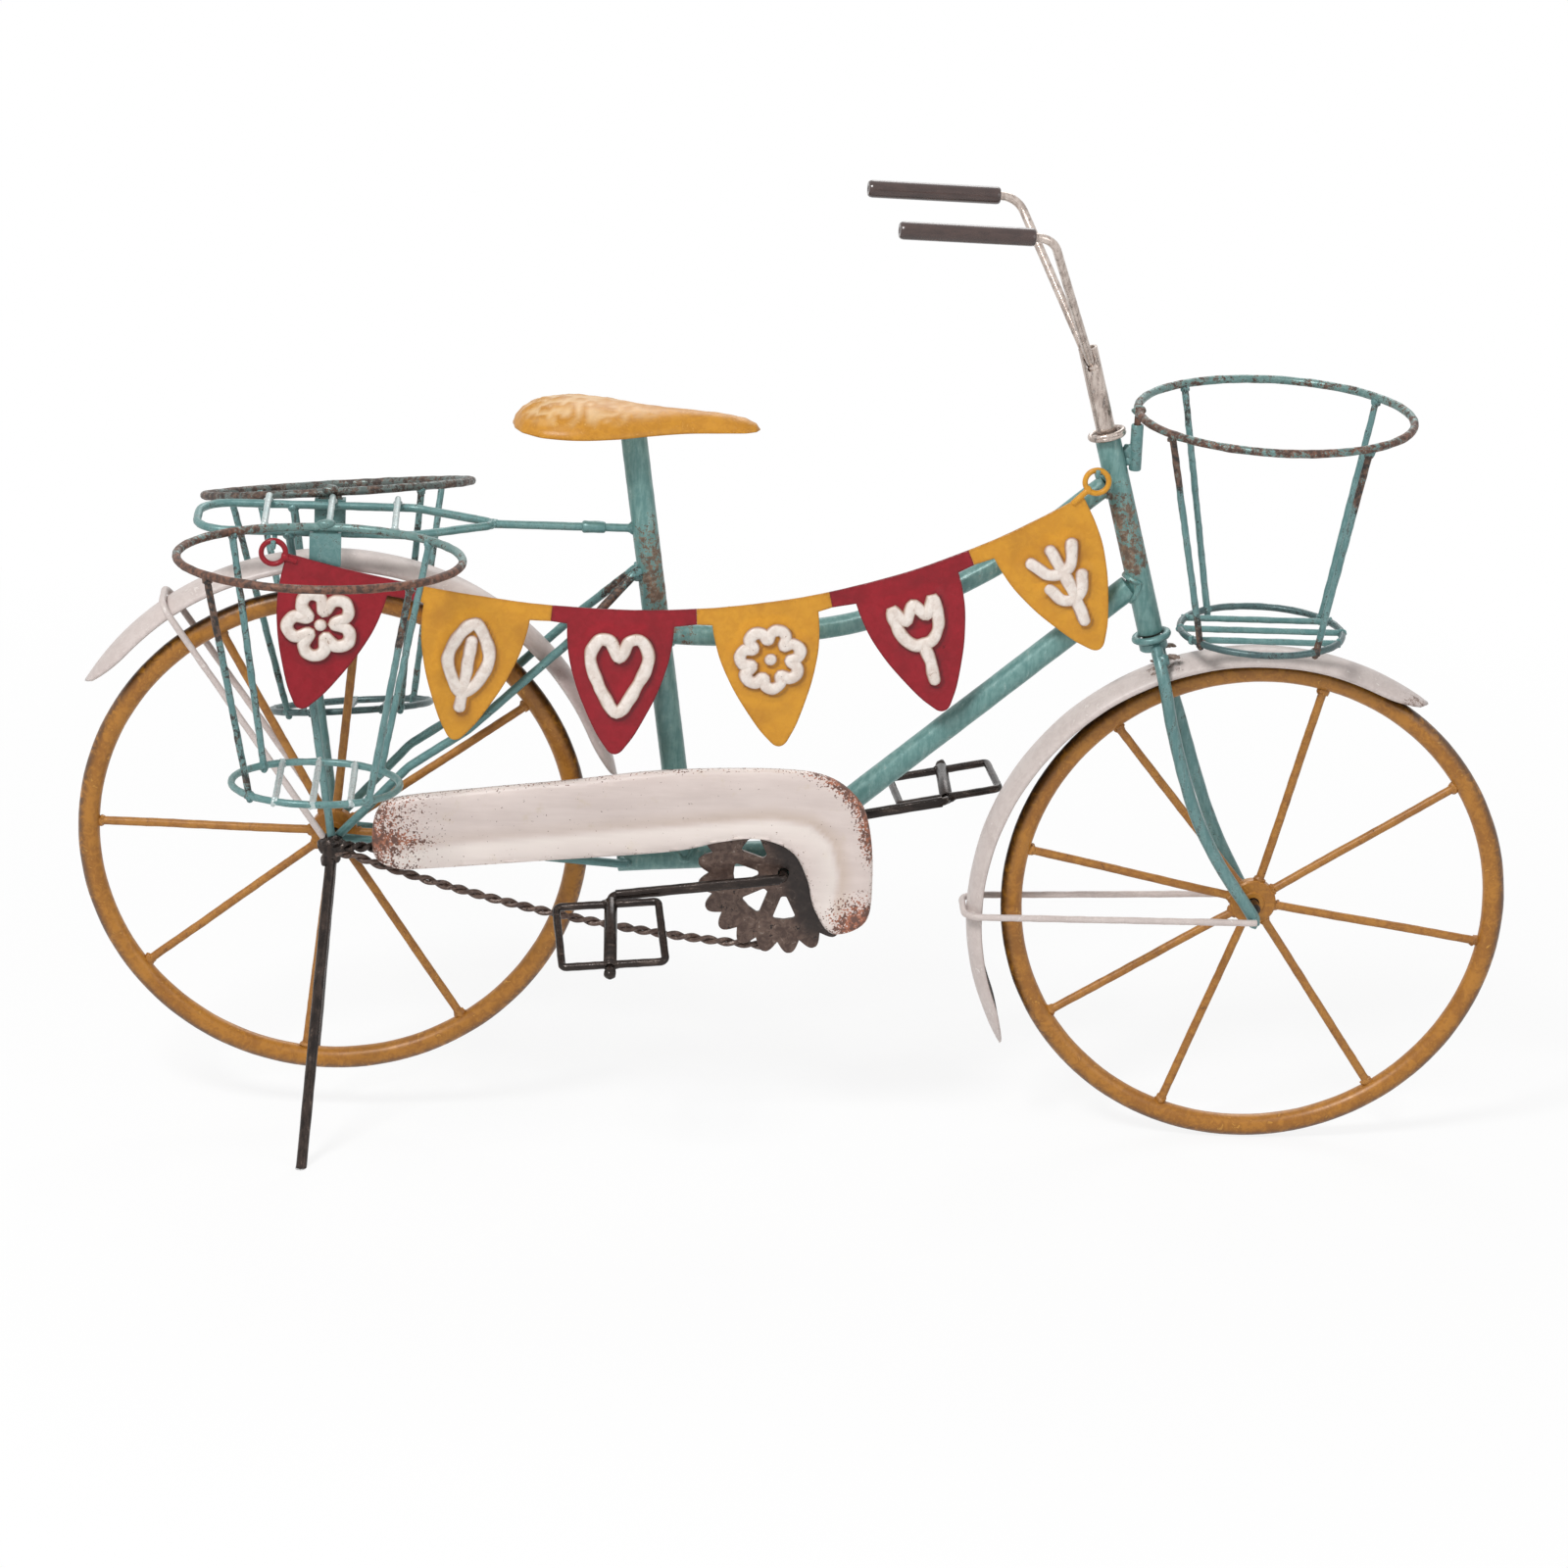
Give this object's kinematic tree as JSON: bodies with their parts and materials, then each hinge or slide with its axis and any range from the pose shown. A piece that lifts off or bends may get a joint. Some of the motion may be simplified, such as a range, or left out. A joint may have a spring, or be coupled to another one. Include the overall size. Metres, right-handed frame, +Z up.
{
  "type": "bicycle planter",
  "caption": "Small painted-wire bicycle on a rear stand, with pot holders that lift out, a pennant garland, and wheels, steering, crank and pedals that turn.",
  "frame": {"origin": "on the floor, midway between the two wheel hubs, in the bicycle's middle plane", "axes": "+X forward, +Y to the bicycle's left, away from the chain, +Z up"},
  "size_m": [0.5244, 0.2397, 0.3558],
  "materials": {
    "mustard_paint": "worn mustard paint with brown patches",
    "teal_patina": "teal paint with a dark rust patina",
    "worn_silver": "dull silver with dark wear",
    "dark_iron": "dark brown-black iron",
    "black_grip": "dark brown-black satin",
    "cream_paint": "aged cream paint with rust specks",
    "pennant_paint": "crimson and ochre paint with raised cream motifs",
    "saddle_paint": "hammered ochre paint"
  },
  "bodies": {
    "frame": {"bottom_tube": "teal_patina", "chain": "dark_iron", "chain_guard": "cream_paint", "chain_stay_left": "teal_patina", "chain_stay_right": "teal_patina", "chainring": "dark_iron", "down_tube": "teal_patina", "garland_hook_front": "teal_patina", "garland_hook_rear": "teal_patina", "guard_strip": "dark_iron", "head_tube": "teal_patina", "holder_sleeve_front": "teal_patina", "holder_sleeve_left": "teal_patina", "holder_sleeve_right": "teal_patina", "rack_bar": "teal_patina", "rack_cross_1": "teal_patina", "rack_cross_2": "teal_patina", "rack_cross_3": "teal_patina", "rack_loop": "teal_patina", "rack_strut_left": "teal_patina", "rack_strut_right": "teal_patina", "rear_axle": "dark_iron", "rear_fender": "cream_paint", "rear_fender_stay": "cream_paint", "saddle": "saddle_paint", "seat_stay_left": "teal_patina", "seat_stay_right": "teal_patina", "seat_tube": "teal_patina", "stand_leg_left": "dark_iron", "stand_leg_right": "dark_iron", "top_tube": "teal_patina"},
    "fork": {"fork": "teal_patina", "stem": "worn_silver", "lower_ring": "teal_patina", "upper_ring": "worn_silver", "handlebar": "worn_silver", "grip_right": "black_grip", "grip_left": "black_grip", "front_fender": "cream_paint", "front_fender_stay": "cream_paint", "front_axle": "dark_iron"},
    "front_wheel": {"front_wheel_rim": "mustard_paint", "front_wheel_hub_spokes": "mustard_paint"},
    "rear_wheel": {"rear_wheel_rim": "mustard_paint", "rear_wheel_hub_spokes": "mustard_paint"},
    "crank": {"crank": "dark_iron"},
    "pedal_right": {"pedal_right": "dark_iron"},
    "pedal_left": {"pedal_left": "dark_iron"},
    "holder_front": {"holder_front_rim": "teal_patina", "holder_front_cage": "teal_patina"},
    "holder_right": {"holder_right_rim": "teal_patina", "holder_right_cage": "teal_patina"},
    "holder_left": {"holder_left_rim": "teal_patina", "holder_left_cage": "teal_patina"},
    "garland": {"garland": "pennant_paint"}
  },
  "joints": [
    {"name": "steering", "type": "hinge", "parent": "frame", "child": "fork", "pos_m": [0.1263, 0, 0.1923], "axis": [-0.2639, 0, 0.9646], "range_deg": [-12, 12]},
    {"name": "front_wheel_spin", "type": "hinge", "parent": "fork", "child": "front_wheel", "pos_m": [0.1693, 0, 0.0932], "axis": [0, 1, 0], "continuous": true},
    {"name": "rear_wheel_spin", "type": "hinge", "parent": "frame", "child": "rear_wheel", "pos_m": [-0.1693, 0, 0.111], "axis": [0, 1, 0], "continuous": true},
    {"name": "crank_spin", "type": "hinge", "parent": "frame", "child": "crank", "pos_m": [-0.0053, 0, 0.1072], "axis": [0, 1, 0], "continuous": true},
    {"name": "pedal_right_spin", "type": "hinge", "parent": "crank", "child": "pedal_right", "pos_m": [-0.06776, -0.0286, 0.09898], "axis": [0, -0.9135, -0.4067], "continuous": true},
    {"name": "pedal_left_spin", "type": "hinge", "parent": "crank", "child": "pedal_left", "pos_m": [0.05643, 0.026, 0.11976], "axis": [0, 1, 0], "continuous": true},
    {"name": "garland_swing", "type": "hinge", "parent": "frame", "child": "garland", "pos_m": [-0.1915, -0.0256, 0.2265], "axis": [0.9932, 0.0542, 0.1034], "range_deg": [-4, 3]},
    {"name": "holder_front_lift", "type": "slide", "parent": "frame", "child": "holder_front", "axis": [0, 0, 1], "range_m": [0, 0.025]},
    {"name": "holder_right_lift", "type": "slide", "parent": "frame", "child": "holder_right", "axis": [0, 0, 1], "range_m": [0, 0.025]},
    {"name": "holder_left_lift", "type": "slide", "parent": "frame", "child": "holder_left", "axis": [0, 0, 1], "range_m": [0, 0.025]}
  ]
}
